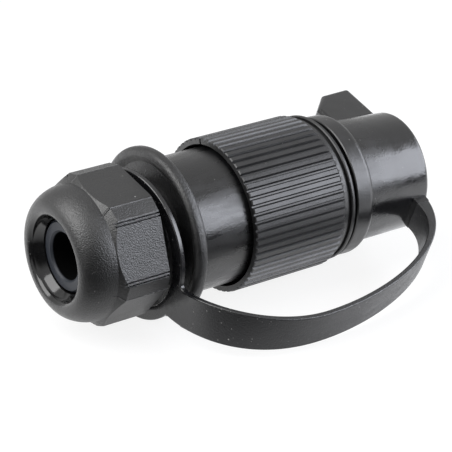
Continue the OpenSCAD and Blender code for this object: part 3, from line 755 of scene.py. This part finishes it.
def circle(radius, steps=120):
    angles = np.linspace(0, 2 * math.pi, steps + 1)[:-1]
    return [(radius * math.cos(a), radius * math.sin(a)) for a in angles]


outlines = plate_outline(), circle(TETHER["hole"])
print("plate: outlines of", len(outlines[0]), "and", len(outlines[1]), "points")


# %% The plate
def plate_skin(edge=TETHER_EDGE):
    curve = bpy.data.curves.new("plate", "CURVE")
    curve.dimensions = "2D"
    curve.fill_mode = "BOTH"
    curve.extrude = TETHER["t"] / 2 - edge
    curve.bevel_depth = edge
    curve.bevel_resolution = 3
    curve.offset = -edge
    for points in outlines:
        spline = curve.splines.new("POLY")
        spline.points.add(len(points) - 1)
        for point, (y, z) in zip(spline.points, points):
            point.co = (y, z, 0, 1)
        spline.use_cyclic_u = True
    holder = bpy.data.objects.new("plate", curve)
    scene.collection.objects.link(holder)
    bpy.context.view_layer.update()
    filled = holder.evaluated_get(bpy.context.evaluated_depsgraph_get())
    mesh = bpy.data.meshes.new_from_object(filled)
    bpy.data.objects.remove(holder)
    c, s = math.cos(TETHER["tilt"]), math.sin(TETHER["tilt"])
    verts = []
    for vertex in mesh.vertices:
        y, z, x = vertex.co
        verts.append((TETHER["x"] + x * c - y * s, x * s + y * c, z - TETHER["drop"]))
    faces = [tuple(face.vertices) for face in mesh.polygons]
    bpy.data.meshes.remove(mesh)
    return verts, faces


plate = plate_skin()
print("plate:", len(plate[0]), "points and", len(plate[1]), "faces")

# %% [markdown]
# A union joins the plate and the band, so that the tether is one closed skin without a
# seam. When the cap is pulled off, one end of the tether goes with it and the other stays
# on the neck. The strap could be split where they part, but then it would tear. Here the
# tether is baked where it lies and tied to neither body.

# %% The tether made whole
tether = carved("rubber_tether", solid("plate", *plate), solid("band", *band), "UNION")
tether.data.materials.clear()
tether.data.materials.append(STRAP)
soften(tether, angle=40.0)
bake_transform(tether)
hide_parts("tether_ring", "strap")
print("rubber tether:", len(tether.data.polygons), "faces")

# %% [markdown]
# The coupling ring holds the plug to its socket by a thread inside its front end, which
# shows once the cap is off. It could be cut into the ring as the groove was cut into the
# neck. But a moulded inside thread is a ridge that stands on the bore, so nothing has to
# be cut. The same kind of bar, now with a flat-topped section, is set into the bore as a
# piece of its own and turns with the ring.

# %% The thread inside the coupling ring
THREAD = {"x0": 51.6, "x1": 58.2, "pitch": 2.0, "run_out": 0.3}
RIDGE_FOOT, RIDGE_TIP, FOOT_HALF, TIP_HALF, RIDGE_LEAST = 13.95, 13.5, 0.55, 0.2, 0.02


def ridge_section(rise):
    tip = RIDGE_FOOT + (RIDGE_TIP - RIDGE_FOOT) * max(rise, RIDGE_LEAST)
    return [(-FOOT_HALF, RIDGE_FOOT), (-TIP_HALF, tip), (TIP_HALF, tip), (FOOT_HALF, RIDGE_FOOT)]


thread = solid("ring_thread", *winding(THREAD, ridge_section))
thread.data.materials.append(RIBBED)
thread.data.polygons.foreach_set("use_smooth", [True] * len(thread.data.polygons))
thread.modifiers.new("split", "EDGE_SPLIT").split_angle = math.radians(SPLIT_DEG)
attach(thread, "ring")
print("ring thread:", len(thread.data.polygons), "faces")

# %% [markdown]
# The plug lies on a white table that fades into a white room. A plain white table would
# turn grey where the light falls off, and black plastic would mirror it evenly from all
# sides. So the table answers by the kind of ray. The camera sees it nearly white, with
# the plug's soft shadow. Light bounces off it as off pale paint. What shines sees it
# bright under the plug and dark in front, as in a studio where the table ends there.


# %% Kinds of surface for the table and the room
def painted(net, level):
    node = net.add("ShaderNodeBsdfDiffuse")
    net.feed(node.inputs["Color"], (level, level, level, 1.0))
    return node.outputs[0]


def glowing(net, strength):
    node = net.add("ShaderNodeEmission")
    net.feed(node.inputs["Strength"], strength)
    return node.outputs[0]


def both(net, a, b):
    node = net.add("ShaderNodeAddShader")
    net.feed(node.inputs[0], a)
    net.feed(node.inputs[1], b)
    return node.outputs[0]


def either(net, second, a, b):
    """The first shader where second is 0, the other where it is 1."""
    node = net.add("ShaderNodeMixShader")
    for socket, value in zip(node.inputs, (second, a, b)):
        net.feed(socket, value)
    return node.outputs[0]


def toward(net, place, direction):
    """How far a place or a ray goes in one direction."""
    node = net.add("ShaderNodeVectorMath", operation="DOT_PRODUCT")
    net.feed(node.inputs[0], place)
    net.feed(node.inputs[1], direction)
    return node.outputs["Value"]


print("ready: painted, glowing, both, either, toward")

# %% The table
TABLE_Z, TABLE_MIDDLE = -17.3 * MM, 0.04  # m; the collar rests on it
TABLE_SIZE = 6.0  # m, so that no edge is seen
PALE, DARK = 0.75, 0.04
UNDER_GLOW = 0.66
SEEN_PAINT, SEEN_GLOW = 0.2, 0.86
FRONT, TABLE_END = (-0.55, -0.835, 0.0), (0.018, 0.05)  # m from the middle

bpy.ops.mesh.primitive_plane_add(size=TABLE_SIZE, location=(TABLE_MIDDLE, 0, TABLE_Z))
floor = bpy.context.object
floor.name = "floor"
white = bpy.data.materials.new("floor_white")
white.use_nodes = True
table = Net(white.node_tree)
table.tree.nodes.clear()
ray = table.add("ShaderNodeLightPath").outputs
front = toward(table, table.add("ShaderNodeTexCoord").outputs["Object"], FRONT)
lit = both(table, painted(table, PALE), glowing(table, UNDER_GLOW))
ended = table.ramp(front, *TABLE_END, 0.0, 1.0)
mirrored = either(table, ended, lit, painted(table, DARK))
bounced = either(table, ray["Is Glossy Ray"], painted(table, PALE), mirrored)
seen = both(table, painted(table, SEEN_PAINT), glowing(table, SEEN_GLOW))
whole = either(table, ray["Is Camera Ray"], bounced, seen)
table.feed(table.add("ShaderNodeOutputMaterial").inputs["Surface"], whole)
floor.data.materials.append(white)
print("table at", round(TABLE_Z / MM, 1), "mm, with", len(table.tree.nodes), "nodes")

# %% [markdown]
# Black plastic shows hardly any colour of its own: its shape is read from what it
# mirrors. An even grey room would be simplest, but it would make the plug look flat. So
# the room is white to the camera, dim to the light that bounces about, and bright to what
# shines, apart from an unlit side at the front. Faces turned that way go black.

# %% The room
BOUNCE_LIGHT, CAMERA_LIGHT = 0.33, 1.0
LIT_SIDE, UNLIT_SIDE = 0.67, 0.03
UNLIT_WAY, UNLIT_FADE = (-0.5, -0.866, 0.0), (0.72, 0.96)

scene.view_settings.view_transform = "Standard"
scene.world = bpy.data.worlds.new("studio")
scene.world.use_nodes = True
room = Net(scene.world.node_tree)
room.tree.nodes.clear()


def wall(strength):
    node = room.add("ShaderNodeBackground")
    room.feed(node.inputs["Color"], (1.0, 1.0, 1.0, 1.0))
    room.feed(node.inputs["Strength"], strength)
    return node.outputs[0]


ray = room.add("ShaderNodeLightPath").outputs
way = toward(room, room.add("ShaderNodeTexCoord").outputs["Generated"], UNLIT_WAY)
mirrored = room.ramp(way, *UNLIT_FADE, LIT_SIDE, UNLIT_SIDE, interpolation_type="SMOOTHSTEP")
shiny = room.calc("MAXIMUM", ray["Is Glossy Ray"], ray["Is Transmission Ray"])
bounced = either(room, shiny, wall(BOUNCE_LIGHT), wall(mirrored))
whole = either(room, ray["Is Camera Ray"], bounced, wall(CAMERA_LIGHT))
room.feed(room.add("ShaderNodeOutputWorld").inputs["Surface"], whole)
print("room with", len(room.tree.nodes), "nodes")

# %% [markdown]
# Two softboxes draw the long streaks on the barrel and the cap. The larger one stands low
# on the right and is faintly blue, and the other is high on the left, beyond the nut.
# Point lamps would leave small hard spots. Area lamps are mirrored as bright panels with
# soft ends, as in a product photograph, and cast soft shadows too.

# %% The softboxes
CENTRE = Vector((0.038, -0.004, 0.0))  # m, the middle of the plug
LAMP_DISTANCE = 0.6  # m


def softbox(name, azimuth, elevation, width, height, watts, tint=(1.0, 1.0, 1.0)):
    """A rectangular lamp that faces the plug; angles in degrees, sizes in metres."""
    lamp = bpy.data.lights.new(name, "AREA")
    lamp.shape = "RECTANGLE"
    lamp.size = width
    lamp.size_y = height
    lamp.energy = watts
    lamp.color = tint
    a, e = math.radians(azimuth), math.radians(elevation)
    direction = Vector((math.cos(e) * math.cos(a), math.cos(e) * math.sin(a), math.sin(e)))
    obj = bpy.data.objects.new(name, lamp)
    obj.location = CENTRE + direction * LAMP_DISTANCE
    obj.rotation_euler = direction.to_track_quat("Z", "Y").to_euler()
    scene.collection.objects.link(obj)
    print(name, "softbox of", watts, "W")


softbox("key", azimuth=-39, elevation=21, width=0.72, height=0.40, watts=4.32, tint=(0.88, 0.91, 1.0))
softbox("left", azimuth=170, elevation=48, width=0.52, height=0.52, watts=2.97)

# %% [markdown]
# The camera looks at the plug from the nut's end and the strap's side, a little from
# above. Its place, its two axes and its lens were fitted to the outlines of the round
# pieces. Three angles could turn it too, but they depend on the order in which they are
# applied. A matrix made from the axes leaves no doubt.

# %% The camera
CAMERA_AT = (-180.27, -302.03, 157.57)  # mm
CAMERA_RIGHT, CAMERA_UP = (0.8100, -0.5865, 0.0), (0.2323, 0.3209, 0.9182)
FOCAL_PX, PICTURE_PX, SENSOR_MM = 2000.0, 452.0, 36.0

camera = bpy.data.objects.new("camera", bpy.data.cameras.new("camera"))
camera.data.sensor_width = SENSOR_MM
camera.data.lens = FOCAL_PX / PICTURE_PX * SENSOR_MM
camera.data.clip_start = 0.01
right, up = Vector(CAMERA_RIGHT).normalized(), Vector(CAMERA_UP).normalized()
columns = (right, up, right.cross(up), Vector([c * MM for c in CAMERA_AT]))
rows = [[column[i] for column in columns] for i in range(3)]
camera.matrix_world = Matrix((*rows, (0, 0, 0, 1)))
scene.collection.objects.link(camera)
scene.camera = camera
print("camera with a lens of", round(camera.data.lens, 1), "mm")

# %% [markdown]
# Dressing a part must not change its size, or it would no longer fit the places that were
# measured for it. It could be measured by eye in a render, but a box in numbers is exact.
